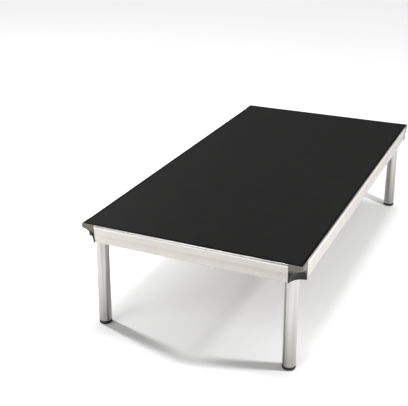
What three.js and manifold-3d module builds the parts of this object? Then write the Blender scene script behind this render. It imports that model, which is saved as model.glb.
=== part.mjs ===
// Portable stage riser: a 1 m x 2 m deck standing on four round legs that pull out of its corners.
//
// Millimetres, +Z up. The origin is on the floor under the middle of the deck. The short edges
// run along X, at the front (-Y) and the back (+Y), and the long edges run along Y.

import * as THREE from 'three';
import { mergeVertices } from 'three/addons/utils/BufferGeometryUtils.js';
import Module from 'manifold-3d';

const wasm = await Module();
wasm.setup();

// ---------------------------------------------------------------- driving dimensions

const DECK_WIDTH = 1000;
const DECK_LENGTH = 2000;
const DECK_HEIGHT = 500;
const GAP = 0.3;                    // between pieces that touch

// Deck: a thin surface skin on a film-faced plywood core, both held inside the rails' lips.
const SKIN_THICKNESS = 3;
const CORE_THICKNESS = 18;
const SKIN_TIP_RADIUS = 1.5;

// Edge rail: a hollow extrusion.
const RAIL_HEIGHT = 80;
const RAIL_DEPTH = 24;
const LIP_WIDTH = 6;                // top lip seen from above
const LIP_ROUND = 5;                // lip's round top: its width, and then its height
const LIP_ROUND_HEIGHT = 10;
const LIP_FLAT = 4;                 // upright flat on the nose of the lip
const FACE_SETBACK = 2;             // outer face, behind the lip's nose
const FACE_LEAN = 2;                // more setback at the bottom, below the groove
const HEEL_ROUND = 3;               // outer bottom edge
const GROOVE_LOW = 36;              // shallow groove's lower edge, above the rail's bottom
const GROOVE_WIDTH = 8;
const GROOVE_DEPTH = 1;
const GROOVE_SLOPE = 3;
const RAIL_WALL = 3;
const HOLLOW_SETBACK = 6.7;         // outer wall, from the lip's nose to the hollow

// Corner casting, with the socket that holds a leg.
const CORNER_SIZE = 62;             // exposed length along each edge
const CORNER_SETBACK = 1.5;         // its outer faces, behind the noses of the rails' lips
const CORNER_TIP_RADIUS = 4;
const ARCH_RADIUS = 57;             // recess under the deck's tip
const ARCH_HEIGHT = 60;
const ARCH_FLARE = 2;               // chamfer around the arch on both outer faces
const SPIGOT_LENGTH = 42;           // reach into each rail
const SOCKET_WALL = 3.5;
const SOCKET_MOUTH = 6;             // socket's mouth, above the rails' bottom
const SOCKET_CAP = 5;

// Leg: a round tube with a plug in its top and a rubber foot, whose stem fills the tube's end.
const LEG_RADIUS = 28.5;
const LEG_WALL = 3;
const LEG_INSET = 64;               // leg's axis, from both outer faces of the deck
const LEG_CLEARANCE = 0.5;
const PLUG_FLANGE = 3;
const PLUG_DEPTH = 16;
const FOOT_HEIGHT = 16;
const FOOT_STEM = 20;
const FOOT_ROUND = 5;

// Clamp: a screw with a star knob that presses a pad on the leg, on the corner's diagonal.
const CLAMP_HEIGHT = 450;
const PAD_RADIUS = 7.5;
const PAD_REACH = 33;               // from the leg's axis to the pad's back
const CLAMP_TRAVEL = 3;
const SCREW_RADIUS = 5;
const BOSS_RADIUS = 12;
const BOSS_REACH = 50;
const KNOB_RADIUS = 17;
const KNOB_LOBES = 5;
const KNOB_LOBE_HEIGHT = 3;
const KNOB_BEVEL = 1.5;
const KNOB_HUB_RADIUS = 9;
const KNOB_HUB_START = 52;
const KNOB_START = 57;
const KNOB_END = 72;
const SCREW_END = 66;

// Cross members under the core, on cleats that are bolted to the long rails.
const MEMBER_WIDTH = 40;
const MEMBER_HEIGHT = 30;
const MEMBER_WALL = 2;
const MEMBER_PLACES = { front: -DECK_LENGTH / 4, middle: 0, back: DECK_LENGTH / 4 };
const CLEAT_REACH = 40;
const CLEAT_DROP = 28;
const CLEAT_THICKNESS = 4;

// Bolts.
const BOLT_RADIUS = 4;
const BOLT_HEAD_RADIUS = 6.5;
const BOLT_HEAD_HEIGHT = 5;
const BOLT_SHANK = 10;
const RAIL_BOLT_PLACE = 88;         // from the deck's tip, along the rail
const CLEAT_BOLT_LOW = 13;          // above the rail's bottom

// Facets around round pieces.
const LEG_SIDES = 32;
const SMALL_SIDES = 16;
const BOLT_SIDES = 12;
const KNOB_LOBE_STEPS = 6;
const ARC_STEPS = 4;

// ---------------------------------------------------------------- derived levels and lengths

const RAIL_BOTTOM = DECK_HEIGHT - RAIL_HEIGHT;
const SKIN_BOTTOM = DECK_HEIGHT - SKIN_THICKNESS;
const LEDGE_LEVEL = SKIN_BOTTOM - CORE_THICKNESS;
const LEDGE_RISE = LEDGE_LEVEL - RAIL_BOTTOM;
const SOCKET_BOTTOM = RAIL_BOTTOM + SOCKET_MOUTH;
const SOCKET_TOP = LEDGE_LEVEL - GAP;
const SOCKET_ROOF = SOCKET_TOP - SOCKET_CAP;
const SOCKET_BORE = LEG_RADIUS + LEG_CLEARANCE;
const SOCKET_RADIUS = SOCKET_BORE + SOCKET_WALL;
const LEG_TOP = SOCKET_ROOF - GAP - PLUG_FLANGE;
const LEG_BORE = LEG_RADIUS - LEG_WALL;
const DIAGONAL = new THREE.Vector3(1, 1, 0).normalize();
const UP = new THREE.Vector3(0, 0, 1);
const THROUGH = 1;                  // how far a cutter passes the face that it opens

const material = {
  surface: new THREE.MeshStandardMaterial({ color: 0x232322, roughness: 0.75, metalness: 0 }),
  plywood: new THREE.MeshStandardMaterial({ color: 0x4b423b, roughness: 0.6, metalness: 0 }),
  rail: new THREE.MeshStandardMaterial({ color: 0xd8d4cc, roughness: 0.35, metalness: 0.9 }),
  casting: new THREE.MeshStandardMaterial({ color: 0x55524d, roughness: 0.5, metalness: 0.6 }),
  leg: new THREE.MeshStandardMaterial({ color: 0xdcdad5, roughness: 0.25, metalness: 0.95 }),
  member: new THREE.MeshStandardMaterial({ color: 0xb9b9b8, roughness: 0.45, metalness: 0.9 }),
  rubber: new THREE.MeshStandardMaterial({ color: 0x1b1b1b, roughness: 0.85, metalness: 0 }),
  plastic: new THREE.MeshStandardMaterial({ color: 0x202022, roughness: 0.5, metalness: 0 }),
  nylon: new THREE.MeshStandardMaterial({ color: 0xcfcdc4, roughness: 0.6, metalness: 0 }),
  steel: new THREE.MeshStandardMaterial({ color: 0x9fa3a6, roughness: 0.35, metalness: 0.9 }),
};

// ---------------------------------------------------------------- solids

// A closed three.js geometry as a solid that can be joined and cut.
function solid(geometry) {
  const bare = geometry.clone();
  bare.deleteAttribute('normal');
  bare.deleteAttribute('uv');
  const merged = mergeVertices(bare);
  const corners = merged.index.array;
  const kept = [];
  for (let i = 0; i < corners.length; i += 3) {
    const [a, b, c] = corners.slice(i, i + 3);
    if (a !== b && b !== c && c !== a) kept.push(a, b, c);
  }
  return new wasm.Manifold(new wasm.Mesh({
    numProp: 3,
    vertProperties: new Float32Array(merged.attributes.position.array),
    triVerts: new Uint32Array(kept),
  }));
}

function geometryOf(shape) {
  const { vertProperties, triVerts } = shape.getMesh();
  const geometry = new THREE.BufferGeometry();
  geometry.setAttribute('position', new THREE.BufferAttribute(vertProperties, 3));
  geometry.setIndex(new THREE.BufferAttribute(triVerts, 1));
  return geometry;
}

function joined(...shapes) {
  return shapes.reduce((whole, shape) => whole.add(shape));
}

function cut(shape, ...cutters) {
  return cutters.reduce((rest, cutter) => rest.subtract(cutter), shape);
}

function boxBetween(low, high) {
  const size = high.map((value, axis) => value - low[axis]);
  const middle = high.map((value, axis) => (value + low[axis]) / 2);
  return new THREE.BoxGeometry(...size).translate(...middle);
}

// Turns a geometry that was made along +Z so that it runs along a direction from a place.
function aim(geometry, place, direction) {
  const turn = new THREE.Quaternion().setFromUnitVectors(UP, direction);
  return geometry.applyQuaternion(turn).translate(place.x, place.y, place.z);
}

// A cylinder between two distances from a place, along a direction.
function rod(radius, start, end, place, direction, sides = SMALL_SIDES) {
  const upright = new THREE.CylinderGeometry(radius, radius, end - start, sides);
  upright.rotateX(Math.PI / 2).translate(0, 0, (start + end) / 2);
  return aim(upright, place, direction);
}

function uprightRod(radius, low, high, x, y, sides = SMALL_SIDES) {
  return rod(radius, low, high, new THREE.Vector3(x, y, 0), UP, sides);
}

// A flat plate with the given outline, between two levels.
function plate(shape, low, high) {
  const settings = { depth: high - low, bevelEnabled: false, curveSegments: ARC_STEPS };
  return new THREE.ExtrudeGeometry(shape, settings).translate(0, 0, low);
}

// A body of revolution about the Z axis, from a profile of [radius, level] that closes on itself.
function turned(profile, sides) {
  const points = profile.map(([radius, level]) => new THREE.Vector2(radius, level));
  return new THREE.LatheGeometry(points, sides).rotateX(Math.PI / 2);
}

// ---------------------------------------------------------------- deck

// The core: a rectangle with a square notch at every corner, where the castings stand.
function coreOutline() {
  const halfX = DECK_WIDTH / 2 - LIP_WIDTH;
  const halfY = DECK_LENGTH / 2 - LIP_WIDTH;
  const notch = CORNER_SIZE - LIP_WIDTH + GAP;
  const quarter = [[halfX, halfY - notch], [halfX - notch, halfY - notch], [halfX - notch, halfY]];
  const mirrored = quarter.map(([x, y]) => [-x, y]).reverse();
  const backHalf = [...quarter, ...mirrored];
  const frontHalf = backHalf.map(([x, y]) => [-x, -y]);
  return new THREE.Shape([...backHalf, ...frontHalf].map(([x, y]) => new THREE.Vector2(x, y)));
}

const CORNERS = ['front_left', 'front_right', 'back_right', 'back_left'].map((name, index) => ({
  name,
  turn: index * Math.PI / 2,
  x: (index === 0 || index === 3 ? -1 : 1) * DECK_WIDTH / 2,
  y: (index < 2 ? -1 : 1) * DECK_LENGTH / 2,
}));

// The skin lies inside the lips of the rails and castings: a rectangle with small round tips.
function skinGeometry() {
  const right = DECK_WIDTH / 2 - LIP_WIDTH;
  const back = DECK_LENGTH / 2 - LIP_WIDTH;
  const x = right - SKIN_TIP_RADIUS;
  const y = back - SKIN_TIP_RADIUS;
  const shape = new THREE.Shape();
  shape.moveTo(right, -y);
  shape.absarc(x, y, SKIN_TIP_RADIUS, 0, Math.PI / 2, false);
  shape.absarc(-x, y, SKIN_TIP_RADIUS, Math.PI / 2, Math.PI, false);
  shape.absarc(-x, -y, SKIN_TIP_RADIUS, Math.PI, 1.5 * Math.PI, false);
  shape.absarc(x, -y, SKIN_TIP_RADIUS, 1.5 * Math.PI, 2 * Math.PI, false);
  return plate(shape, SKIN_BOTTOM, DECK_HEIGHT);
}

function coreGeometry() {
  return plate(coreOutline(), LEDGE_LEVEL, SKIN_BOTTOM);
}

// ---------------------------------------------------------------- edge rails

// The rail's section: inward from the lip's nose, and up from the rail's bottom.
function railOutline() {
  const shape = new THREE.Shape();
  const flatTop = RAIL_HEIGHT - LIP_ROUND_HEIGHT;
  const flatLow = flatTop - LIP_FLAT;
  const grooveTop = GROOVE_LOW + GROOVE_WIDTH;
  const grooveFloor = FACE_SETBACK + GROOVE_DEPTH;
  const heel = FACE_SETBACK + FACE_LEAN + HEEL_ROUND;
  shape.moveTo(RAIL_DEPTH, 0);
  shape.lineTo(heel, 0);
  shape.absarc(heel, HEEL_ROUND, HEEL_ROUND, 1.5 * Math.PI, Math.PI, true);
  shape.lineTo(FACE_SETBACK, GROOVE_LOW);
  shape.lineTo(grooveFloor, GROOVE_LOW + GROOVE_SLOPE);
  shape.lineTo(grooveFloor, grooveTop - GROOVE_SLOPE);
  shape.lineTo(FACE_SETBACK, grooveTop);
  shape.lineTo(FACE_SETBACK, flatLow - FACE_SETBACK);
  shape.lineTo(0, flatLow);
  shape.lineTo(0, flatTop);
  shape.absellipse(LIP_ROUND, flatTop, LIP_ROUND, LIP_ROUND_HEIGHT, Math.PI, Math.PI / 2, true);
  shape.lineTo(LIP_WIDTH - GAP, RAIL_HEIGHT);
  shape.lineTo(LIP_WIDTH - GAP, LEDGE_RISE);
  shape.lineTo(RAIL_DEPTH, LEDGE_RISE);
  shape.closePath();

  const hollow = new THREE.Path();
  hollow.moveTo(HOLLOW_SETBACK, RAIL_WALL);
  hollow.lineTo(RAIL_DEPTH - RAIL_WALL, RAIL_WALL);
  hollow.lineTo(RAIL_DEPTH - RAIL_WALL, LEDGE_RISE - RAIL_WALL);
  hollow.lineTo(HOLLOW_SETBACK, LEDGE_RISE - RAIL_WALL);
  hollow.closePath();
  shape.holes.push(hollow);
  return shape;
}

// A rail in its own frame: along X, its nose at Y = 0, inward +Y, its bottom at the rails' level.
// Bolt holes are [place along the rail, height above its bottom].
function railGeometry(edgeLength, boltHoles) {
  const length = edgeLength - 2 * (CORNER_SIZE + GAP);
  const settings = { depth: length, bevelEnabled: false, curveSegments: ARC_STEPS };
  const bar = new THREE.ExtrudeGeometry(railOutline(), settings).translate(0, 0, -length / 2);
  const along = new THREE.Vector3(1, 0, 0);
  const inward = new THREE.Vector3(0, 1, 0);
  bar.applyMatrix4(new THREE.Matrix4().makeBasis(inward, UP, along)).translate(0, 0, RAIL_BOTTOM);
  const holes = boltHoles.map(([x, height]) => {
    const start = new THREE.Vector3(x, 0, RAIL_BOTTOM + height);
    return solid(rod(BOLT_RADIUS + GAP, RAIL_DEPTH - RAIL_WALL - THROUGH, RAIL_DEPTH + THROUGH,
      start, inward, BOLT_SIDES));
  });
  return geometryOf(cut(solid(bar), ...holes));
}

function endBoltHoles(edgeLength) {
  const place = edgeLength / 2 - RAIL_BOLT_PLACE;
  return [-place, place].map((x) => [x, CLAMP_HEIGHT - RAIL_BOTTOM]);
}

// ---------------------------------------------------------------- corner casting

// A cone-shaped cutter that flares the arch on the outer face that the direction looks out of.
function archFlare(direction) {
  const sides = LEG_SIDES;
  const widest = ARCH_RADIUS + ARCH_FLARE;
  const depth = ARCH_FLARE + THROUGH;
  const cone = new THREE.CylinderGeometry(widest + THROUGH, ARCH_RADIUS, depth, sides);
  cone.rotateX(Math.PI / 2).translate(0, 0, THROUGH / 2 - ARCH_FLARE / 2 - CORNER_SETBACK);
  aim(cone, new THREE.Vector3(0, 0, 0), direction);
  return cone.scale(1, 1, ARCH_HEIGHT / ARCH_RADIUS).translate(0, 0, RAIL_BOTTOM);
}

// The block that the casting is cut from: a square over one corner, with a rounded tip.
function cornerOutline() {
  const start = CORNER_SETBACK + CORNER_TIP_RADIUS;
  const shape = new THREE.Shape();
  shape.moveTo(start, CORNER_SETBACK);
  shape.lineTo(CORNER_SIZE, CORNER_SETBACK);
  shape.lineTo(CORNER_SIZE, CORNER_SIZE);
  shape.lineTo(CORNER_SETBACK, CORNER_SIZE);
  shape.lineTo(CORNER_SETBACK, start);
  shape.absarc(start, start, CORNER_TIP_RADIUS, Math.PI, 1.5 * Math.PI, false);
  shape.closePath();
  return shape;
}

// The casting in the corner's own frame: the deck's tip is the origin and +X and +Y run inward.
function castingGeometry() {
  const block = plate(cornerOutline(), RAIL_BOTTOM, DECK_HEIGHT);
  const rim = LIP_WIDTH - GAP;
  const far = CORNER_SIZE + THROUGH;
  const skinSeat = boxBetween([rim, rim, SKIN_BOTTOM], [far, far, DECK_HEIGHT + THROUGH]);
  const dome = new THREE.SphereGeometry(ARCH_RADIUS, LEG_SIDES, LEG_SIDES / 2).rotateX(Math.PI / 2);
  dome.scale(1, 1, ARCH_HEIGHT / ARCH_RADIUS).translate(0, 0, RAIL_BOTTOM);
  const flares = [new THREE.Vector3(-1, 0, 0), new THREE.Vector3(0, -1, 0)].map(archFlare);
  const mouth = uprightRod(SOCKET_RADIUS + THROUGH, RAIL_BOTTOM - THROUGH, SOCKET_BOTTOM,
    LEG_INSET, LEG_INSET, LEG_SIDES);
  const shell = cut(solid(block), ...[skinSeat, dome, ...flares, mouth].map(solid));

  const socket = uprightRod(SOCKET_RADIUS, SOCKET_BOTTOM, SOCKET_TOP, LEG_INSET, LEG_INSET, LEG_SIDES);
  const clampAxis = new THREE.Vector3(LEG_INSET, LEG_INSET, CLAMP_HEIGHT);
  const boss = rod(BOSS_RADIUS, SOCKET_BORE, BOSS_REACH, clampAxis, DIAGONAL);

  const outer = HOLLOW_SETBACK + GAP;
  const inner = RAIL_DEPTH - RAIL_WALL - GAP;
  const low = RAIL_BOTTOM + RAIL_WALL + GAP;
  const high = LEDGE_LEVEL - RAIL_WALL - GAP;
  const end = CORNER_SIZE + SPIGOT_LENGTH;
  const start = CORNER_SIZE - THROUGH;
  const spigots = [
    boxBetween([start, outer, low], [end, inner, high]),
    boxBetween([outer, start, low], [inner, end, high]),
  ];

  const bore = uprightRod(SOCKET_BORE, RAIL_BOTTOM - THROUGH, SOCKET_ROOF, LEG_INSET, LEG_INSET, LEG_SIDES);
  const pocketEnd = PAD_REACH + CLAMP_TRAVEL + 2 * GAP;
  const pocket = rod(PAD_RADIUS + GAP, 0, pocketEnd, clampAxis, DIAGONAL);
  const thread = rod(SCREW_RADIUS + GAP, 0, BOSS_REACH + THROUGH, clampAxis, DIAGONAL);
  const boltStart = (outer + inner) / 2 - BOLT_RADIUS;
  const boltHoles = [
    rod(BOLT_RADIUS + GAP, boltStart, RAIL_DEPTH, new THREE.Vector3(RAIL_BOLT_PLACE, 0, CLAMP_HEIGHT),
      new THREE.Vector3(0, 1, 0), BOLT_SIDES),
    rod(BOLT_RADIUS + GAP, boltStart, RAIL_DEPTH, new THREE.Vector3(0, RAIL_BOLT_PLACE, CLAMP_HEIGHT),
      new THREE.Vector3(1, 0, 0), BOLT_SIDES),
  ];

  const whole = joined(shell, solid(socket), solid(boss), ...spigots.map(solid));
  return geometryOf(cut(whole, ...[bore, pocket, thread, ...boltHoles].map(solid)));
}

// ---------------------------------------------------------------- leg, plug and foot

function legGeometry() {
  return turned([
    [LEG_BORE, FOOT_HEIGHT + GAP],
    [LEG_RADIUS, FOOT_HEIGHT + GAP],
    [LEG_RADIUS, LEG_TOP],
    [LEG_BORE, LEG_TOP],
    [LEG_BORE, FOOT_HEIGHT + GAP],
  ], LEG_SIDES);
}

function plugGeometry() {
  const base = LEG_TOP + GAP / 2;
  return turned([
    [0, base - PLUG_DEPTH],
    [LEG_BORE - GAP - 1, base - PLUG_DEPTH],
    [LEG_BORE - GAP, base - PLUG_DEPTH + 2],
    [LEG_BORE - GAP, base],
    [LEG_RADIUS - 1, base],
    [LEG_RADIUS - 1, base + PLUG_FLANGE - 1],
    [LEG_RADIUS - 2, base + PLUG_FLANGE],
    [0, base + PLUG_FLANGE],
  ], SMALL_SIDES);
}

function footGeometry() {
  const stem = LEG_BORE - GAP;
  const profile = [[0, 0]];
  for (let step = 0; step <= ARC_STEPS; step++) {
    const angle = step / ARC_STEPS * Math.PI / 2;
    const out = Math.sin(angle);
    const down = Math.cos(angle);
    profile.push([LEG_RADIUS - FOOT_ROUND + FOOT_ROUND * out, FOOT_ROUND - FOOT_ROUND * down]);
  }
  profile.push([LEG_RADIUS, FOOT_HEIGHT], [stem, FOOT_HEIGHT]);
  profile.push([stem, FOOT_HEIGHT + FOOT_STEM], [0, FOOT_HEIGHT + FOOT_STEM]);
  return turned(profile, LEG_SIDES);
}

// ---------------------------------------------------------------- clamp

const CLAMP_PLACE = new THREE.Vector3(LEG_INSET, LEG_INSET, CLAMP_HEIGHT);

function padGeometry() {
  const disc = rod(PAD_RADIUS, LEG_RADIUS - 3, PAD_REACH, CLAMP_PLACE, DIAGONAL);
  const seat = uprightRod(LEG_RADIUS + GAP, CLAMP_HEIGHT - 2 * PAD_RADIUS, CLAMP_HEIGHT + 2 * PAD_RADIUS,
    LEG_INSET, LEG_INSET, LEG_SIDES);
  return geometryOf(cut(solid(disc), solid(seat)));
}

function screwGeometry() {
  return rod(SCREW_RADIUS, PAD_REACH + GAP, SCREW_END - GAP, CLAMP_PLACE, DIAGONAL);
}

function knobGeometry() {
  const steps = KNOB_LOBE_STEPS * KNOB_LOBES;
  const points = Array.from({ length: steps }, (_, step) => {
    const angle = step / steps * 2 * Math.PI;
    const reach = KNOB_RADIUS + KNOB_LOBE_HEIGHT * Math.cos(KNOB_LOBES * angle);
    return new THREE.Vector2(reach * Math.cos(angle), reach * Math.sin(angle));
  });
  const disc = new THREE.ExtrudeGeometry(new THREE.Shape(points), {
    depth: KNOB_END - KNOB_START - 2 * KNOB_BEVEL,
    bevelThickness: KNOB_BEVEL,
    bevelSize: KNOB_BEVEL,
    bevelOffset: -KNOB_BEVEL,
    bevelSegments: 1,
  });
  disc.translate(0, 0, KNOB_START + KNOB_BEVEL);
  aim(disc, CLAMP_PLACE, DIAGONAL);
  const hub = rod(KNOB_HUB_RADIUS, KNOB_HUB_START, KNOB_START + 2, CLAMP_PLACE, DIAGONAL);
  const bore = rod(SCREW_RADIUS + GAP, KNOB_HUB_START - THROUGH, SCREW_END, CLAMP_PLACE, DIAGONAL);
  return geometryOf(cut(joined(solid(disc), solid(hub)), solid(bore)));
}

// ---------------------------------------------------------------- cross members and bolts

// A box tube along X, open at both ends, under the core.
function memberGeometry() {
  const length = DECK_WIDTH - 2 * (RAIL_DEPTH + 2 * GAP);
  const section = new THREE.Shape();
  const hollow = new THREE.Path();
  const corners = [[-1, -1], [1, -1], [1, 1], [-1, 1]];
  const ring = (inset) => corners.map(([side, level]) => new THREE.Vector2(
    side * (MEMBER_WIDTH / 2 - inset), level * (MEMBER_HEIGHT / 2 - inset)));
  section.setFromPoints(ring(0));
  hollow.setFromPoints(ring(MEMBER_WALL));
  section.holes.push(hollow);
  const tube = new THREE.ExtrudeGeometry(section, { depth: length, bevelEnabled: false });
  tube.translate(0, 0, -length / 2);
  tube.applyMatrix4(new THREE.Matrix4().makeBasis(
    new THREE.Vector3(0, 1, 0), UP, new THREE.Vector3(1, 0, 0)));
  return tube.translate(0, 0, LEDGE_LEVEL - MEMBER_HEIGHT / 2);
}

// An angle in a rail's frame: its upright flange is on the rail and its shelf holds the member.
function cleatGeometry() {
  const shelf = LEDGE_LEVEL - MEMBER_HEIGHT - GAP;
  const back = RAIL_DEPTH + GAP;
  const half = MEMBER_WIDTH / 2;
  const angle = joined(
    solid(boxBetween([-half, back, shelf - CLEAT_THICKNESS], [half, back + CLEAT_REACH, shelf])),
    solid(boxBetween([-half, back, shelf - CLEAT_DROP], [half, back + CLEAT_THICKNESS, shelf])));
  const hole = rod(BOLT_RADIUS + GAP, back - THROUGH, back + CLEAT_THICKNESS + THROUGH,
    new THREE.Vector3(0, 0, RAIL_BOTTOM + CLEAT_BOLT_LOW), new THREE.Vector3(0, 1, 0), BOLT_SIDES);
  return geometryOf(cut(angle, solid(hole)));
}

// A hexagon-head bolt: its head starts at the place and its shank runs back from it.
function boltGeometry(place, direction) {
  const head = rod(BOLT_HEAD_RADIUS, GAP, BOLT_HEAD_HEIGHT, place, direction, 6);
  const stem = rod(BOLT_RADIUS, -BOLT_SHANK, GAP + THROUGH, place, direction, BOLT_SIDES);
  return geometryOf(joined(solid(head), solid(stem)));
}

// ---------------------------------------------------------------- assembly

const group = new THREE.Group();

function add(parent, name, geometry, look) {
  const mesh = new THREE.Mesh(geometry, look);
  mesh.name = name;
  parent.add(mesh);
}

function frameAt(x, y, turn) {
  const frame = new THREE.Group();
  frame.position.set(x, y, 0);
  frame.rotation.z = turn;
  group.add(frame);
  return frame;
}

add(group, 'deck_skin', skinGeometry(), material.surface);
add(group, 'deck_core', coreGeometry(), material.plywood);

const shortRail = railGeometry(DECK_WIDTH, endBoltHoles(DECK_WIDTH));
const cleatHoles = Object.values(MEMBER_PLACES).map((place) => [place, CLEAT_BOLT_LOW]);
const longRail = railGeometry(DECK_LENGTH, [...endBoltHoles(DECK_LENGTH), ...cleatHoles]);
add(frameAt(0, -DECK_LENGTH / 2, 0), 'front_rail', shortRail, material.rail);
add(frameAt(0, DECK_LENGTH / 2, Math.PI), 'back_rail', shortRail, material.rail);

const inward = new THREE.Vector3(0, 1, 0);
const cleat = cleatGeometry();
const cleatBolt = boltGeometry(
  new THREE.Vector3(0, RAIL_DEPTH + GAP + CLEAT_THICKNESS, RAIL_BOTTOM + CLEAT_BOLT_LOW), inward);
const LONG_SIDES = [
  ['right', DECK_WIDTH / 2, Math.PI / 2],
  ['left', -DECK_WIDTH / 2, -Math.PI / 2],
];
for (const [side, x, turn] of LONG_SIDES) {
  add(frameAt(x, 0, turn), `${side}_rail`, longRail, material.rail);
  for (const [place, y] of Object.entries(MEMBER_PLACES)) {
    const frame = frameAt(x, y, turn);
    add(frame, `cleat_${place}_${side}`, cleat, material.member);
    add(frame, `cleat_bolt_${place}_${side}`, cleatBolt, material.steel);
  }
}

for (const [place, y] of Object.entries(MEMBER_PLACES)) {
  add(frameAt(0, y, 0), `cross_member_${place}`, memberGeometry(), material.member);
}

const casting = castingGeometry();
const legParts = [
  ['leg', legGeometry(), material.leg],
  ['leg_plug', plugGeometry(), material.plastic],
  ['foot_cap', footGeometry(), material.rubber],
];
const clampParts = [
  ['clamp_pad', padGeometry(), material.nylon],
  ['clamp_screw', screwGeometry(), material.steel],
  ['clamp_knob', knobGeometry(), material.plastic],
];
for (const { name, x, y, turn } of CORNERS) {
  const corner = frameAt(x, y, turn);
  add(corner, `corner_casting_${name}`, casting, material.casting);
  const leg = new THREE.Group();
  leg.position.set(LEG_INSET, LEG_INSET, 0);
  corner.add(leg);
  for (const [piece, geometry, look] of legParts) add(leg, `${piece}_${name}`, geometry, look);
  for (const [piece, geometry, look] of clampParts) add(corner, `${piece}_${name}`, geometry, look);
  const bolts = [
    ['a', new THREE.Vector3(RAIL_BOLT_PLACE, RAIL_DEPTH, CLAMP_HEIGHT), inward],
    ['b', new THREE.Vector3(RAIL_DEPTH, RAIL_BOLT_PLACE, CLAMP_HEIGHT), new THREE.Vector3(1, 0, 0)],
  ];
  for (const [letter, place, direction] of bolts) {
    add(corner, `rail_bolt_${name}_${letter}`, boltGeometry(place, direction), material.steel);
  }
}

export default group;
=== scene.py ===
"""Looks of a portable stage riser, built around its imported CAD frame.

The camera comes first, then the materials, the pieces (each stands for the CAD nodes it names),
the floor and the lights. Outlines are in millimetres and become metres when a mesh is made.
"""

import math

import bmesh
import bpy
from mathutils import Matrix, Vector


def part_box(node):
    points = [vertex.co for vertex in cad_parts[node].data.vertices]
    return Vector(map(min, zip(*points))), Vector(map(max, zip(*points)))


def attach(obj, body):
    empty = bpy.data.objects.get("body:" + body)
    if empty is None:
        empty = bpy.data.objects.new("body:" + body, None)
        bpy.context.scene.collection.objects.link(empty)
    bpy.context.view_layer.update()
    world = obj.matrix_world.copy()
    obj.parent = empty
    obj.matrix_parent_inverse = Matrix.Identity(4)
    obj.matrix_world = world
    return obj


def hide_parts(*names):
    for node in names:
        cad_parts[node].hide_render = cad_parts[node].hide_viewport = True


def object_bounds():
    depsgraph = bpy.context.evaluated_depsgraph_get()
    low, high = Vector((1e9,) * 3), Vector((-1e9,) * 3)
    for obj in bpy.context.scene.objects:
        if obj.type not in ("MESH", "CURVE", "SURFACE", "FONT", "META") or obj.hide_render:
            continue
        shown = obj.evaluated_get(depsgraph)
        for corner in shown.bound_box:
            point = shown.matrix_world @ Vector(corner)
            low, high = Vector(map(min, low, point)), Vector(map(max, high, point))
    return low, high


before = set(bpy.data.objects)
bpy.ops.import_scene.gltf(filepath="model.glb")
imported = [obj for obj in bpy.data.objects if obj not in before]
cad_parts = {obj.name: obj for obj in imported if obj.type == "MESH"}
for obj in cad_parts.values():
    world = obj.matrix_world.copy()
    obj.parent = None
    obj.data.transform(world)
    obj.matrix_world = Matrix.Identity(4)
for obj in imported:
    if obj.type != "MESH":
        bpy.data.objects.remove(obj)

CAD_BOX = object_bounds()
MM = 0.001
CORNERS = ("front_left", "front_right", "back_right", "back_left")
MEMBERS = ("front", "middle", "back")
SIDES = {"left": -1, "right": 1}

# ------------------------------------------------------------------ sizes, in millimetres

GAP = 0.3                           # clearance between neighbouring pieces
HALF_X = CAD_BOX[1].x / MM
HALF_Y = CAD_BOX[1].y / MM
DECK_TOP = CAD_BOX[1].z / MM
SKIN_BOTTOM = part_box("deck_skin")[0].z / MM
SKIN_RADIUS = 1.5
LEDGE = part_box("deck_core")[0].z / MM

# Rails. The lip is the rounded top edge, and the heel is the rounded bottom one.
RAIL_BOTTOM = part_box("front_rail")[0].z / MM
RAIL_DEPTH = 24
RAIL_WALL = 3
LIP_WIDTH = 6
LIP_ROUND = 5
LIP_ROUND_HEIGHT = 10
LIP_FLAT = 4
LIP_LEVEL = DECK_TOP - LIP_ROUND_HEIGHT - LIP_FLAT
FACE_SETBACK = 2                    # outer face, behind the lip's nose
FACE_LEAN = 2                       # how much further back its foot is
HEEL_ROUND = 3
GROOVE_LOW = 36                     # above the rail's bottom
GROOVE_WIDTH = 8
GROOVE_DEPTH = 0.6                  # the CAD has 1
GROOVE_SLOPE = 3
HOLLOW_SETBACK = 6.7

# Corner castings, with the socket that holds a leg.
CORNER_SIZE = 62
CORNER_SETBACK = 1.5
TIP_RADIUS = 4
ARCH_RADIUS = 57
ARCH_HEIGHT = 60
ARCH_FLARE = 2
SOCKET_BOTTOM = RAIL_BOTTOM + 6
SOCKET_TOP = LEDGE - GAP
SOCKET_ROOF = SOCKET_TOP - 5
SOCKET_BORE = 29
SOCKET_RADIUS = 32.5
SPIGOT_LENGTH = 42

# Legs.
LEG_INSET = 64
LEG_RADIUS = 28.5
LEG_BORE = 25.5
FOOT_HEIGHT = 16
FOOT_STEM = 20
FOOT_ROUND = 5
SOLE_RING_START = 8
SOLE_RING_END = 16
PLUG_STEM = 14
PLUG_RIM = 3
EDGE_BREAK = 0.8

# Clamps. Their lengths run along the corner's diagonal, from the leg's axis.
CLAMP_HEIGHT = 450
BOSS_RADIUS = 12
BOSS_END = 50
PAD_RADIUS = 7.5
PAD_START = 26
PAD_END = 33
POCKET_END = 36.6
SCREW_RADIUS = 5
SCREW_START = 33.3
SCREW_END = 65.7
THREAD_ROOT = 4.3
THREAD_PITCH = 1.5
PLAIN_END = 12                      # length without thread, in the knob
KNOB_RADIUS = 17
KNOB_LOBES = 5
KNOB_LOBE_HEIGHT = 3
KNOB_LOBE_STEPS = 24
KNOB_START = 57
KNOB_END = 72
KNOB_HUB_RADIUS = 9
KNOB_HUB_START = 52
KNOB_TURN = math.radians(171)       # brings the lobes where the CAD has them

# Bolts.
BOLT_RADIUS = 4
BOLT_HEAD_RADIUS = 6.5
BOLT_HEAD_HEIGHT = 5
BOLT_SHANK = 10
RAIL_BOLT_PLACE = 88                # from the deck's tip, along the rail

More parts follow.
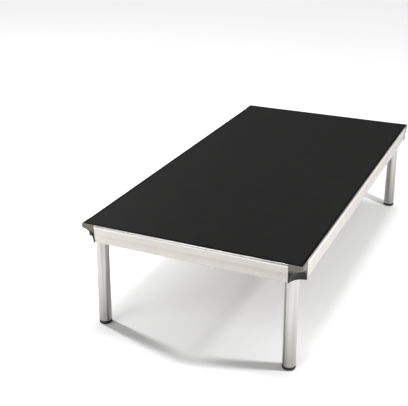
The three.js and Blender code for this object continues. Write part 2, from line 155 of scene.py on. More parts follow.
# Cross members and their cleats.
MEMBER_WALL = 2
MEMBER_ROUND = 1.5
MEMBER_INNER_ROUND = 0.8
CLEAT_THICKNESS = 4
CLEAT_FILLET = 3

# Facets around round pieces.
ROUND_STEPS = 96
SMALL_STEPS = 40
ARC_STEPS = 10

# ------------------------------------------------------------------ camera

CAMERA_PLACE = (1.320, -3.730, 1.971)
CAMERA_YAW = 24.40
CAMERA_PITCH = 18.86
CAMERA_LENS = 72.56
CAMERA_SHIFT = -0.147
SENSOR_WIDTH = 36


def make_camera():
    data = bpy.data.cameras.new("camera")
    data.lens = CAMERA_LENS
    data.sensor_width = SENSOR_WIDTH
    data.shift_y = CAMERA_SHIFT
    camera = bpy.data.objects.new("camera", data)
    camera.location = CAMERA_PLACE
    camera.rotation_euler = (math.radians(90 - CAMERA_PITCH), 0, math.radians(CAMERA_YAW))
    bpy.context.scene.collection.objects.link(camera)
    bpy.context.scene.camera = camera


make_camera()


# ------------------------------------------------------------------ material nodes


class Look:
    """A material made of nodes, on one Principled shader."""

    def __init__(self, name, **values):
        self.material = bpy.data.materials.new(name)
        self.material.use_nodes = True
        self.tree = self.material.node_tree
        self.tree.nodes.clear()
        output = self.tree.nodes.new("ShaderNodeOutputMaterial")
        self.shader = self.tree.nodes.new("ShaderNodeBsdfPrincipled")
        self.link(self.shader.outputs["BSDF"], output.inputs["Surface"])
        for socket, value in values.items():
            self.shader.inputs[socket.replace("_", " ")].default_value = value
        self.place = self.tree.nodes.new("ShaderNodeTexCoord").outputs["Object"]

    def link(self, source, target):
        self.tree.links.new(source, target)

    def feed(self, target, value):
        if hasattr(value, "is_linked"):
            self.link(value, target)
        else:
            target.default_value = value

    def stretched(self, x, y, z):
        """Object coordinates in metres, each axis multiplied by its own factor."""
        node = self.tree.nodes.new("ShaderNodeMapping")
        node.inputs["Scale"].default_value = (x, y, z)
        self.link(self.place, node.inputs["Vector"])
        return node.outputs["Vector"]

    def axis(self, letter):
        node = self.tree.nodes.new("ShaderNodeSeparateXYZ")
        self.link(self.place, node.inputs["Vector"])
        return node.outputs[letter]

    def distance(self, centre, factors):
        """Distance from a point, with each axis multiplied by its own factor."""
        offset = self.tree.nodes.new("ShaderNodeVectorMath")
        offset.operation = "SUBTRACT"
        self.link(self.place, offset.inputs[0])
        offset.inputs[1].default_value = centre
        scaled = self.tree.nodes.new("ShaderNodeVectorMath")
        scaled.operation = "MULTIPLY"
        self.link(offset.outputs["Vector"], scaled.inputs[0])
        scaled.inputs[1].default_value = factors
        length = self.tree.nodes.new("ShaderNodeVectorMath")
        length.operation = "LENGTH"
        self.link(scaled.outputs["Vector"], length.inputs[0])
        return length.outputs["Value"]

    def noise(self, scale, detail, roughness, place=None, distortion=0.0):
        node = self.tree.nodes.new("ShaderNodeTexNoise")
        node.inputs["Scale"].default_value = scale
        node.inputs["Detail"].default_value = detail
        node.inputs["Roughness"].default_value = roughness
        node.inputs["Distortion"].default_value = distortion
        self.link(place or self.place, node.inputs["Vector"])
        return node.outputs["Fac"]

    def cells(self, scale):
        node = self.tree.nodes.new("ShaderNodeTexVoronoi")
        node.inputs["Scale"].default_value = scale
        self.link(self.place, node.inputs["Vector"])
        return node.outputs["Distance"]

    def waves(self, scale, distortion, place):
        node = self.tree.nodes.new("ShaderNodeTexWave")
        node.inputs["Scale"].default_value = scale
        node.inputs["Distortion"].default_value = distortion
        node.inputs["Detail"].default_value = 3
        self.link(place, node.inputs["Vector"])
        return node.outputs["Fac"]

    def between(self, value, low, high, new_low=0.0, new_high=1.0):
        """Takes a value from one range to another, and stops at the ends of the new range."""
        node = self.tree.nodes.new("ShaderNodeMapRange")
        self.feed(node.inputs["Value"], value)
        sockets = ("From Min", "From Max", "To Min", "To Max")
        for socket, number in zip(sockets, (low, high, new_low, new_high)):
            node.inputs[socket].default_value = number
        return node.outputs["Result"]

    def math(self, operation, first, second=0.0):
        node = self.tree.nodes.new("ShaderNodeMath")
        node.operation = operation
        self.feed(node.inputs[0], first)
        self.feed(node.inputs[1], second)
        return node.outputs["Value"]

    def mix(self, factor, first, second):
        """A colour between two colours."""
        node = self.tree.nodes.new("ShaderNodeMix")
        node.data_type = "RGBA"
        self.feed(node.inputs["Factor"], factor)
        start, end = [socket for socket in node.inputs if socket.type == "RGBA"]
        self.feed(start, first)
        self.feed(end, second)
        return [socket for socket in node.outputs if socket.type == "RGBA"][0]

    def worn_edges(self, radius):
        """1 on the edges that wear polishes, 0 on flat and hollow places."""
        bevel = self.tree.nodes.new("ShaderNodeBevel")
        bevel.samples = 4
        bevel.inputs["Radius"].default_value = radius
        geometry = self.tree.nodes.new("ShaderNodeNewGeometry")
        dot = self.tree.nodes.new("ShaderNodeVectorMath")
        dot.operation = "DOT_PRODUCT"
        self.link(bevel.outputs["Normal"], dot.inputs[0])
        self.link(geometry.outputs["Normal"], dot.inputs[1])
        flat = 0.995
        sharp = 0.90
        return self.between(dot.outputs["Value"], flat, sharp)

    def colour(self, value):
        self.feed(self.shader.inputs["Base Color"], value)

    def rough(self, value):
        self.feed(self.shader.inputs["Roughness"], value)

    def bump(self, *layers):
        """Each layer is (height, strength, distance in metres)."""
        normal = None
        for height, strength, distance in layers:
            node = self.tree.nodes.new("ShaderNodeBump")
            node.inputs["Strength"].default_value = strength
            node.inputs["Distance"].default_value = distance
            self.link(height, node.inputs["Height"])
            if normal is not None:
                self.link(normal, node.inputs["Normal"])
            normal = node.outputs["Normal"]
        self.link(normal, self.shader.inputs["Normal"])


def grey(value, warm=0.0):
    return (value * (1 + warm), value, value * (1 - warm), 1.0)


def toned(tone, factor=1.0):
    return tuple(factor * channel for channel in tone) + (1.0,)


# ------------------------------------------------------------------ materials

# Where a material changes on its piece, from one end to the other, in metres.
DARK_EDGE_ACROSS = (0.481, 0.484)
DARK_EDGE_ALONG = (0.977, 0.980)
PLY_PITCH = 0.0014
PLY_LINE = (0.0004, 0.0010)
# Painted shade: the rails grow darker towards local +X between these distances.
RAIL_PAINTED_SHADE = (0.05, 0.40)         # along the rail, from its middle
# Painted highlight: the lighter lip tone blends in over this height.
HIGHLIGHT_BLEND_HEIGHT = 1.5 * MM
LEG_RUBBED = (0.385, 0.415)         # height
# Painted shade: the legs darken towards the foot between these heights.
LEG_PAINTED_SHADE = (0.28, 0.06)          # height
# Painted shade: the castings darken downwards between these heights.
CASTING_PAINTED_SHADE = (0.478, 0.462)  # height
RECESS_DEPTH = (0.0035, 0.0050)     # behind the casting's outer faces
DUST_HEIGHT = 0.007

RAIL_TONE = (0.545, 0.52, 0.485)
# Tone of the painted highlight on the rails' lip.
LIP_HIGHLIGHT_TONE = (0.68, 0.665, 0.64)
MILL_TONE = (0.66, 0.66, 0.66)
RAIL_ROUGHNESS = 0.30
MILL_ROUGHNESS = 0.38


def deck_surface():
    """Black anti-slip film: fine hard grain, faint cloudy marks, scuffs, darker along its edges."""
    look = Look("deck_surface", Metallic=0.0, Specular_IOR_Level=0.08)
    grain = look.noise(650, 4, 0.7)
    pips = look.cells(420)
    clouds = look.noise(2.2, 4, 0.6)
    patches = look.noise(14, 5, 0.65, distortion=0.6)
    scuffs = look.between(look.noise(1.0, 6, 0.75, look.stretched(3.5, 26, 3.5), 1.2), 0.62, 0.74)
    lengthwise = look.between(look.noise(1.0, 6, 0.75, look.stretched(30, 3.0, 3.0), 1.0), 0.66, 0.78)
    across = look.math("ABSOLUTE", look.axis("X"))
    along = look.math("ABSOLUTE", look.axis("Y"))
    edge = look.math(
        "MAXIMUM", look.between(across, *DARK_EDGE_ACROSS), look.between(along, *DARK_EDGE_ALONG))
    base = look.mix(clouds, grey(0.0055, 0.03), grey(0.0080, 0.03))
    base = look.mix(look.between(patches, 0.3, 0.8, 0.0, 0.5), base, grey(0.0100, 0.03))
    base = look.mix(look.between(grain, 0.55, 0.85, 0.0, 0.45), base, grey(0.022))
    base = look.mix(look.math("MULTIPLY", scuffs, 0.25), base, grey(0.030))
    base = look.mix(look.math("MULTIPLY", lengthwise, 0.18), base, grey(0.030))
    look.colour(look.mix(look.math("MULTIPLY", edge, 0.95), base, grey(0.0005)))
    finish = look.between(clouds, 0.25, 0.75, 0.70, 0.78)
    look.rough(look.math("SUBTRACT", finish, look.math("MULTIPLY", scuffs, 0.06)))
    look.bump((pips, 0.35, 0.0003), (grain, 0.5, 0.0004))
    return look.material


def plywood():
    """Film-faced birch plywood: dark film on its faces, pale and dark plies on its edges."""
    look = Look("plywood", Metallic=0.0)
    grain = look.waves(6, 9, look.stretched(7, 0.35, 7))
    fibres = look.noise(1.0, 5, 0.7, look.stretched(900, 18, 900))
    broad = look.noise(3, 3, 0.5)
    film = (0.085, 0.066, 0.055, 1)
    dark_film = (0.060, 0.047, 0.040, 1)
    fibre_mark = (0.040, 0.031, 0.027, 1)
    pale_ply = (0.66, 0.50, 0.32, 1)
    dark_ply = (0.30, 0.18, 0.09, 1)
    face = look.mix(grain, film, dark_film)
    face = look.mix(look.between(fibres, 0.45, 0.8, 0.0, 0.5), face, fibre_mark)
    plies = look.between(look.math("PINGPONG", look.axis("Z"), PLY_PITCH), *PLY_LINE)
    edge = look.mix(plies, pale_ply, dark_ply)
    geometry = look.tree.nodes.new("ShaderNodeNewGeometry")
    split = look.tree.nodes.new("ShaderNodeSeparateXYZ")
    look.link(geometry.outputs["Normal"], split.inputs["Vector"])
    flat = look.between(look.math("ABSOLUTE", split.outputs["Z"]), 0.4, 0.6)
    look.colour(look.mix(flat, edge, face))
    look.rough(look.between(broad, 0.3, 0.7, 0.55, 0.72))
    look.bump((fibres, 0.25, 0.0003))
    return look.material


def extruded_aluminium(name, tone, finish, highlight_above=None):
    """Satin extrusion: fine die lines along local X, faint handling marks, and painted shade that darkens
    it towards +X.
    Above a height in millimetres it has a lighter tone, which is a painted highlight."""
    look = Look(name, Metallic=1.0)
    lines = look.noise(1.0, 6, 0.75, look.stretched(2.5, 900, 900))
    broad_lines = look.noise(1.0, 3, 0.6, look.stretched(0.8, 130, 130))
    smudges = look.noise(9, 5, 0.65, distortion=0.5)
    nicks = look.between(look.noise(1.0, 4, 0.7, look.stretched(60, 800, 800)), 0.72, 0.80)
    base = look.mix(lines, toned(tone, 0.93), toned(tone))
    # painted shade: darker towards local +X
    painted_shade_along = look.between(look.axis("X"), *RAIL_PAINTED_SHADE, 0.0, 0.6)
    base = look.mix(painted_shade_along, base, toned(tone, 0.78))
    base = look.mix(look.between(smudges, 0.35, 0.8, 0.0, 0.35), base, toned(tone, 0.84))
    base = look.mix(look.math("MULTIPLY", nicks, 0.3), base, toned(tone, 0.6))
    rough = look.between(lines, 0.2, 0.8, finish - 0.05, finish + 0.07)
    rough = look.math("ADD", rough, look.between(smudges, 0.4, 0.8, 0.0, 0.10))
    if highlight_above is not None:
        level = highlight_above * MM
        # painted highlight: a lighter tone on the lip, above its level
        rub_and_highlight = look.between(look.axis("Z"), level - HIGHLIGHT_BLEND_HEIGHT, level + HIGHLIGHT_BLEND_HEIGHT)
        rub_and_highlight = look.math("MULTIPLY", rub_and_highlight, look.between(smudges, 0.2, 0.7, 1.0, 0.8))
        base = look.mix(rub_and_highlight, base, toned(LIP_HIGHLIGHT_TONE))
        rough = look.math("SUBTRACT", rough, look.math("MULTIPLY", rub_and_highlight, 0.05))
    look.colour(base)
    rough = look.math("SUBTRACT", rough, look.math("MULTIPLY", look.worn_edges(0.0008), 0.12))
    look.rough(rough)
    look.bump((broad_lines, 0.08, 0.0003), (lines, 0.25, 0.0001))
    return look.material


def drawn_tube():
    """Bright drawn tube: upright streaks and broad dull bands, smudges, painted shade that darkens it
    towards the foot, rubbed rings where the socket held it."""
    look = Look("leg_aluminium", Metallic=1.0)
    streaks = look.noise(1.0, 5, 0.7, look.stretched(420, 420, 1.6))
    smudges = look.noise(16, 5, 0.65, distortion=0.8)
    rings = look.between(look.noise(1.0, 4, 0.7, look.stretched(9, 9, 700)), 0.60, 0.75)
    bands = look.noise(1.0, 2, 0.5, look.stretched(48, 48, 0.2))
    height = look.axis("Z")
    rub_and_highlight = look.between(height, *LEG_RUBBED)
    ringed = look.math("MULTIPLY", rings, rub_and_highlight)
    scratches = look.between(look.noise(1.0, 5, 0.75, look.stretched(60, 60, 9), 1.5), 0.68, 0.76)
    dull_streak = (0.42, 0.415, 0.40, 1)
    bright_streak = (0.58, 0.575, 0.555, 1)
    band = (0.25, 0.245, 0.235, 1)
    shaded_foot_end = (0.24, 0.232, 0.218, 1)
    ring = (0.36, 0.355, 0.35, 1)
    scratch = (0.42, 0.42, 0.41, 1)
    base = look.mix(streaks, dull_streak, bright_streak)
    base = look.mix(look.between(bands, 0.42, 0.58, 0.0, 0.5), base, band)
    # painted shade towards the foot
    base = look.mix(look.between(height, *LEG_PAINTED_SHADE, 0.0, 0.45), base, shaded_foot_end)
    base = look.mix(look.math("MULTIPLY", ringed, 0.5), base, ring)
    base = look.mix(look.math("MULTIPLY", scratches, 0.25), base, scratch)
    look.colour(base)
    rough = look.between(smudges, 0.3, 0.8, 0.11, 0.20)
    rough = look.math("ADD", rough, look.between(streaks, 0.3, 0.7, -0.03, 0.05))
    look.rough(look.math("ADD", rough, look.math("MULTIPLY", ringed, 0.15)))
    look.bump((streaks, 0.12, 0.0002), (scratches, 0.15, 0.0001))
    return look.material


def dark_casting():
    """Cast metal: pebbled taupe outer faces with painted shade that darkens them downwards, painted
    shade that makes the recess under the deck's tip nearly black, rubbed edges."""
    look = Look("dark_casting", Metallic=0.55)
    pebble = look.noise(520, 4, 0.65)
    broad = look.noise(45, 4, 0.6)
    patches = look.between(look.noise(130, 4, 0.7), 0.35, 0.65)
    wear = look.math("MULTIPLY", look.worn_edges(0.0012), patches)
    base = look.mix(broad, grey(0.10, 0.14), grey(0.19, 0.12))
    base = look.mix(look.between(pebble, 0.5, 0.85, 0.0, 0.5), base, grey(0.26, 0.08))
    # painted shade, darker downwards
    base = look.mix(look.between(look.axis("Z"), *CASTING_PAINTED_SHADE), base, grey(0.018, 0.04))
    base = look.mix(look.math("MULTIPLY", wear, 0.7), base, grey(0.40, 0.03))
    depth = look.math("MINIMUM", look.axis("X"), look.axis("Y"))
    inside = look.between(depth, *RECESS_DEPTH)
    from_tip = look.distance(Vector((0, 0, RAIL_BOTTOM * MM)), (1, 1, ARCH_RADIUS / ARCH_HEIGHT))
    near_tip = look.between(from_tip, (ARCH_RADIUS + 3) * MM, (ARCH_RADIUS + 1) * MM)
    # painted shade: the recess under the tip is coloured nearly black
    painted_recess_shade = look.math("MULTIPLY", inside, near_tip)
    look.colour(look.mix(painted_recess_shade, base, look.mix(broad, grey(0.010), grey(0.020))))
    rough = look.between(broad, 0.3, 0.7, 0.44, 0.60)
    look.rough(look.math("SUBTRACT", rough, look.math("MULTIPLY", wear, 0.18)))
    look.bump((broad, 0.25, 0.0006), (pebble, 0.45, 0.00035))
    return look.material


def black_rubber():
    """Moulded rubber: matt and slightly mottled, dusty towards the floor, scuffed."""
    look = Look("black_rubber", Metallic=0.0, Specular_IOR_Level=0.35)
    mottle = look.noise(160, 5, 0.7)
    fine = look.noise(1400, 3, 0.6)
    low = look.between(look.axis("Z"), DUST_HEIGHT, 0.0)
    dust = look.math("MULTIPLY", low, look.between(mottle, 0.35, 0.7))
    base = look.mix(mottle, grey(0.018), grey(0.034))
    look.colour(look.mix(look.math("MULTIPLY", dust, 0.55), base, grey(0.16, 0.08)))
    look.rough(look.between(mottle, 0.3, 0.7, 0.62, 0.82))
    look.bump((mottle, 0.2, 0.0003), (fine, 0.3, 0.0001))
    return look.material


def black_plastic():
    """Moulded black plastic with a fine spark-eroded texture and shiny rubbed edges."""
    look = Look("black_plastic", Metallic=0.0)
    texture = look.noise(1800, 2, 0.5)
    broad = look.noise(60, 3, 0.6)
    wear = look.worn_edges(0.0012)
    base = look.mix(broad, grey(0.012), grey(0.024))
    look.colour(look.mix(look.math("MULTIPLY", wear, 0.35), base, grey(0.07)))
    rough = look.between(texture, 0.3, 0.7, 0.42, 0.56)
    look.rough(look.math("SUBTRACT", rough, look.math("MULTIPLY", wear, 0.15)))
    look.bump((texture, 0.35, 0.00012))
    return look.material


def natural_nylon():
    """Milky nylon with tool marks."""
    look = Look("natural_nylon", Metallic=0.0, Subsurface_Weight=0.15, Subsurface_Scale=0.002)
    marks = look.noise(900, 3, 0.6)
    milky = (0.66, 0.63, 0.55, 1)
    yellowed = (0.56, 0.53, 0.45, 1)
    look.colour(look.mix(look.noise(80, 3, 0.6), milky, yellowed))
    look.rough(look.between(marks, 0.3, 0.7, 0.42, 0.58))
    look.bump((marks, 0.2, 0.0001))
    return look.material


def zinc_steel():
    """Zinc-plated steel: slightly blotched plating with dull spots."""
    look = Look("zinc_steel", Metallic=1.0)
    blotch = look.noise(220, 4, 0.6)
    spots = look.between(look.cells(380), 0.0, 0.5)
    blue_plating = (0.52, 0.53, 0.54, 1)
    pale_plating = (0.66, 0.66, 0.63, 1)
    dull_spot = (0.40, 0.40, 0.41, 1)
    base = look.mix(blotch, blue_plating, pale_plating)
    look.colour(look.mix(look.between(spots, 0.0, 0.4, 0.35, 0.0), base, dull_spot))
    look.rough(look.between(blotch, 0.3, 0.7, 0.26, 0.42))
    look.bump((blotch, 0.15, 0.0001))
    return look.material


MATERIALS = {
    "deck_surface": deck_surface(),
    "plywood": plywood(),
    "rail_aluminium": extruded_aluminium("rail_aluminium", RAIL_TONE, RAIL_ROUGHNESS, LIP_LEVEL),
    "mill_aluminium": extruded_aluminium("mill_aluminium", MILL_TONE, MILL_ROUGHNESS),
    "leg_aluminium": drawn_tube(),
    "dark_casting": dark_casting(),
    "black_rubber": black_rubber(),
    "black_plastic": black_plastic(),
    "natural_nylon": natural_nylon(),
    "zinc_steel": zinc_steel(),
}

# ------------------------------------------------------------------ meshes

MERGE_DISTANCE = 1e-4

# Turn a prism, which is made along Z, so that it runs along X or along Y.
ALONG_X = Matrix(((0, 0, 1, 0), (1, 0, 0, 0), (0, 1, 0, 0), (0, 0, 0, 1)))
ALONG_Y = Matrix(((1, 0, 0, 0), (0, 0, 1, 0), (0, 1, 0, 0), (0, 0, 0, 1)))


def arc(centre_x, centre_y, radius_x, radius_y, start, end, steps=ARC_STEPS):
    """Points of an elliptical arc, with its angles in degrees."""
    points = []
    for step in range(steps + 1):
        angle = math.radians(start + (end - start) * step / steps)
        points.append((centre_x + radius_x * math.cos(angle), centre_y + radius_y * math.sin(angle)))
    return points


def mesh_from(builder, name):
    """A Blender mesh, in metres, from a bmesh in millimetres."""
    bmesh.ops.remove_doubles(builder, verts=builder.verts, dist=MERGE_DISTANCE)
    bmesh.ops.recalc_face_normals(builder, faces=builder.faces)
    builder.transform(Matrix.Scale(MM, 4))
    mesh = bpy.data.meshes.new(name)
    builder.to_mesh(mesh)
    builder.free()
    return mesh


def lathe(profile, steps=ROUND_STEPS):
    """A bmesh turned about the Z axis. The profile is (radius, height); it closes on itself or the axis."""
    builder = bmesh.new()
    verts = [builder.verts.new((radius, 0, height)) for radius, height in profile]
    edges = [builder.edges.new(pair) for pair in zip(verts, verts[1:])]
    bmesh.ops.spin(builder, geom=verts + edges, axis=(0, 0, 1), cent=(0, 0, 0), steps=steps,
                   angle=math.tau, use_merge=True)
    return builder


def prism(outline, low, high, holes=()):
    """A bmesh extruded along Z from a closed outline, with holes through it."""
    builder = bmesh.new()
    rims = {low: [], high: []}
    for loop in (outline, *holes):
        rings = {}
        for level in (low, high):
            rings[level] = [builder.verts.new((x, y, level)) for x, y in loop]
        count = len(loop)
        for i in range(count):
            j = (i + 1) % count
            builder.faces.new((rings[low][i], rings[low][j], rings[high][j], rings[high][i]))
        for level, ring in rings.items():
            rims[level] += [builder.edges.get((ring[i], ring[(i + 1) % count])) for i in range(count)]
    for edges in rims.values():
        bmesh.ops.triangle_fill(builder, use_beauty=True, edges=edges)
    return builder


def turned_to(builder, place, direction):
    """Turns a bmesh made along +Z so that it starts at a place and runs along a direction."""
    turn = Vector((0, 0, 1)).rotation_difference(Vector(direction)).to_matrix().to_4x4()
    builder.transform(Matrix.Translation(Vector(place)) @ turn)
    return builder


def cylinder(radius, low, high, steps=ROUND_STEPS):
    return lathe([(0, low), (radius, low), (radius, high), (0, high)], steps)


def put(name, mesh, frame_matrix=None):
    piece = bpy.data.objects.new(name, mesh)
    bpy.context.scene.collection.objects.link(piece)
    if frame_matrix is not None:
        piece.matrix_world = frame_matrix
    return piece


def taken_from(piece):
    """The piece's mesh, without the piece."""
    mesh = piece.data
    bpy.data.objects.remove(piece)
    return mesh


def apply_modifiers(piece):
    graph = bpy.context.evaluated_depsgraph_get()
    mesh = bpy.data.meshes.new_from_object(piece.evaluated_get(graph))
    piece.modifiers.clear()
    piece.data = mesh


def shade(piece, sharp):
    """Smooth shading, with a crease where faces meet at more than the sharp angle in degrees."""
    piece.data.shade_smooth()
    piece.data.set_sharp_from_angle(angle=math.radians(sharp))


def carve(piece, tools):
    """Joins or cuts the piece with each (bmesh, operation) in turn."""
    for builder, operation in tools:
        tool = put("tool", mesh_from(builder, "tool"))
        step = piece.modifiers.new("carve", "BOOLEAN")
        step.object = tool
        step.operation = operation
        step.solver = "EXACT"
        apply_modifiers(piece)
        bpy.data.objects.remove(tool)


def soften(piece, width, segments=3, sharp=40):
    """Rounds the sharp edges by a width in millimetres and shades the rest smooth."""
    bevel = piece.modifiers.new("round", "BEVEL")
    bevel.width = width * MM
    bevel.segments = segments
    bevel.limit_method = "ANGLE"
    bevel.angle_limit = math.radians(sharp)
    apply_modifiers(piece)
    shade(piece, sharp)


def stand_for(piece, body, slot, *nodes):
    """Gives the piece its material, its body, and the CAD nodes that it stands for."""
    piece.data.materials.clear()
    piece.data.materials.append(MATERIALS[slot])
    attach(piece, body)
    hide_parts(*nodes)


def corner_matrix(index):
    """The corner's own frame: its origin is the deck's tip, and +X and +Y run inward."""
    x = (-1 if index in (0, 3) else 1) * HALF_X
    y = (-1 if index < 2 else 1) * HALF_Y
    return Matrix.Translation((x * MM, y * MM, 0)) @ Matrix.Rotation(index * math.pi / 2, 4, "Z")


# ------------------------------------------------------------------ deck


def rounded_box(half_x, half_y, radius, steps=4):
    """A rectangle with rounded corners, anticlockwise."""
    points = []
    for sign_x, sign_y, start in ((1, 1, 0), (-1, 1, 90), (-1, -1, 180), (1, -1, 270)):
        x = sign_x * (half_x - radius)
        y = sign_y * (half_y - radius)
        points += arc(x, y, radius, radius, start, start + 90, steps)
    return points


def make_skin():
    outline = rounded_box(HALF_X - LIP_WIDTH, HALF_Y - LIP_WIDTH, SKIN_RADIUS)
    piece = put("deck_surface", mesh_from(prism(outline, SKIN_BOTTOM, DECK_TOP), "deck_surface"))
    soften(piece, 0.6, 2)
    stand_for(piece, "deck", "deck_surface", "deck_skin")


def make_core():
    notch = CORNER_SIZE + GAP
    outline = []
    for index in range(4):
        matrix = corner_matrix(index)
        for x, y in [(LIP_WIDTH, notch), (notch, notch), (notch, LIP_WIDTH)]:
            world = matrix @ Vector((x * MM, y * MM, 0))
            outline.append((world.x / MM, world.y / MM))
    piece = put("deck_panel", mesh_from(prism(outline, LEDGE, SKIN_BOTTOM), "deck_panel"))
    soften(piece, 0.5, 2)
    stand_for(piece, "deck", "plywood", "deck_core")


# ------------------------------------------------------------------ rails


def rail_outline():
    """The rail's section: inward from the lip's nose, and up from its bottom."""
    height = DECK_TOP - RAIL_BOTTOM
    ledge = LEDGE - RAIL_BOTTOM
    flat_top = height - LIP_ROUND_HEIGHT
    flat_low = flat_top - LIP_FLAT
    groove_top = GROOVE_LOW + GROOVE_WIDTH
    floor = FACE_SETBACK + GROOVE_DEPTH
    heel = FACE_SETBACK + FACE_LEAN + HEEL_ROUND
    points = [(RAIL_DEPTH, 0)]
    points += arc(heel, HEEL_ROUND, HEEL_ROUND, HEEL_ROUND, 270, 180, 5)
    points += [(FACE_SETBACK, GROOVE_LOW), (floor, GROOVE_LOW + GROOVE_SLOPE)]
    points += [(floor, groove_top - GROOVE_SLOPE), (FACE_SETBACK, groove_top)]
    points += [(FACE_SETBACK, flat_low - FACE_SETBACK), (0, flat_low)]
    points += arc(LIP_ROUND, flat_top, LIP_ROUND, LIP_ROUND_HEIGHT, 180, 90)
    points += [(LIP_WIDTH - GAP, height), (LIP_WIDTH - GAP, ledge), (RAIL_DEPTH, ledge)]
    hollow = [(HOLLOW_SETBACK, RAIL_WALL), (RAIL_DEPTH - RAIL_WALL, RAIL_WALL)]
    hollow += [(RAIL_DEPTH - RAIL_WALL, ledge - RAIL_WALL), (HOLLOW_SETBACK, ledge - RAIL_WALL)]
    return points, hollow


def make_rail(name, turn, distance, edge_length):
    """A rail in its own frame, along X with its nose at Y = 0, turned onto its side of the deck."""
    outline, hollow = rail_outline()
    half = edge_length / 2 - CORNER_SIZE - GAP
    builder = prism(outline, -half, half, [hollow])
    builder.transform(Matrix.Translation((0, 0, RAIL_BOTTOM)) @ ALONG_X)
    turned = Matrix.Rotation(turn, 4, "Z")
    place = turned @ Matrix.Translation((0, -distance * MM, 0))
    piece = put(name, mesh_from(builder, name), place)
    soften(piece, 0.35, 2, 30)
    stand_for(piece, "deck", "rail_aluminium", name)


def make_rails():
    make_rail("front_rail", 0, HALF_Y, 2 * HALF_X)
    make_rail("right_rail", math.pi / 2, HALF_X, 2 * HALF_Y)
    make_rail("back_rail", math.pi, HALF_Y, 2 * HALF_X)
    make_rail("left_rail", -math.pi / 2, HALF_X, 2 * HALF_Y)


# ------------------------------------------------------------------ corner castings


def dome():
    """The recess under the deck's tip, centred on the foot of its upright edge."""
    builder = lathe(arc(0, 0, ARCH_RADIUS, ARCH_HEIGHT, -90, 90, ROUND_STEPS // 4))
    bmesh.ops.translate(builder, verts=builder.verts, vec=(0, 0, RAIL_BOTTOM))
    return builder


def flare(direction):
    """Opens the arch into a wide chamfer on the outer face that the direction looks out of."""
    widest = ARCH_RADIUS + ARCH_FLARE + 1
    far = CORNER_SETBACK - 1
    near = CORNER_SETBACK + ARCH_FLARE
    builder = lathe([(0, -near), (ARCH_RADIUS, -near), (widest, -far), (0, -far)])
    turned_to(builder, (0, 0, 0), direction)
    builder.transform(Matrix.Translation((0, 0, RAIL_BOTTOM)) @ Matrix.Diagonal(
        (1, 1, ARCH_HEIGHT / ARCH_RADIUS, 1)))
    return builder


def casting_mesh():
    """A casting in its corner's frame: block, arch, leg socket, clamp boss and rail spigots."""
    diagonal = (math.sqrt(0.5), math.sqrt(0.5), 0)
    clamp = (LEG_INSET, LEG_INSET, CLAMP_HEIGHT)

    def on_leg(builder):
        return turned_to(builder, (LEG_INSET, LEG_INSET, 0), (0, 0, 1))

    def on_clamp(builder):
        return turned_to(builder, clamp, diagonal)

    start = CORNER_SETBACK + TIP_RADIUS
    outline = [(CORNER_SIZE, CORNER_SETBACK), (CORNER_SIZE, CORNER_SIZE), (CORNER_SETBACK, CORNER_SIZE)]
    outline += arc(start, start, TIP_RADIUS, TIP_RADIUS, 180, 270)
    block = put("block", mesh_from(prism(outline, RAIL_BOTTOM, DECK_TOP), "block"))
    rim = LIP_WIDTH - GAP
    past = CORNER_SIZE + 1
    seat = [(rim, rim), (past, rim), (past, past), (rim, past)]
    near = HOLLOW_SETBACK + GAP
    far = RAIL_DEPTH - RAIL_WALL - GAP
    low = RAIL_BOTTOM + RAIL_WALL + GAP
    high = LEDGE - RAIL_WALL - GAP
    start = CORNER_SIZE - 1
    end = CORNER_SIZE + SPIGOT_LENGTH
    spigots = [
        prism([(start, near), (end, near), (end, far), (start, far)], low, high),
        prism([(near, start), (far, start), (far, end), (near, end)], low, high),
    ]
    carve(block, [
        (prism(seat, SKIN_BOTTOM, DECK_TOP + 1), "DIFFERENCE"),
        (dome(), "DIFFERENCE"),
        (flare((-1, 0, 0)), "DIFFERENCE"),
        (flare((0, -1, 0)), "DIFFERENCE"),
        (on_leg(cylinder(SOCKET_RADIUS + 1, RAIL_BOTTOM - 1, SOCKET_BOTTOM)), "DIFFERENCE"),
        (on_leg(cylinder(SOCKET_RADIUS, SOCKET_BOTTOM, SOCKET_TOP)), "UNION"),
        (on_clamp(cylinder(BOSS_RADIUS, SOCKET_BORE, BOSS_END, SMALL_STEPS)), "UNION"),
        (spigots[0], "UNION"),
        (spigots[1], "UNION"),
        (on_leg(cylinder(SOCKET_BORE, RAIL_BOTTOM - 1, SOCKET_ROOF)), "DIFFERENCE"),
        (on_clamp(cylinder(PAD_RADIUS + GAP, 0, POCKET_END, SMALL_STEPS)), "DIFFERENCE"),
        (on_clamp(cylinder(SCREW_RADIUS + GAP, 0, BOSS_END + 1, SMALL_STEPS)), "DIFFERENCE"),
    ])
    soften(block, 1.0)
    return taken_from(block)


def make_castings():
    mesh = casting_mesh()
    for index, name in enumerate(CORNERS):
        piece = put(f"corner_casting_{name}", mesh.copy(), corner_matrix(index))
        stand_for(piece, "deck", "dark_casting", f"corner_casting_{name}")


# ------------------------------------------------------------------ legs


def leg_profile(low, high):
    """The tube's wall, with its edges broken."""
    foot_break = 0.6
    bore_break = 0.5
    return [
        (LEG_BORE, low), (LEG_RADIUS - foot_break, low), (LEG_RADIUS, low + foot_break),
        (LEG_RADIUS, high - EDGE_BREAK), (LEG_RADIUS - EDGE_BREAK, high),
        (LEG_BORE + bore_break, high), (LEG_BORE, high - bore_break), (LEG_BORE, low),
    ]


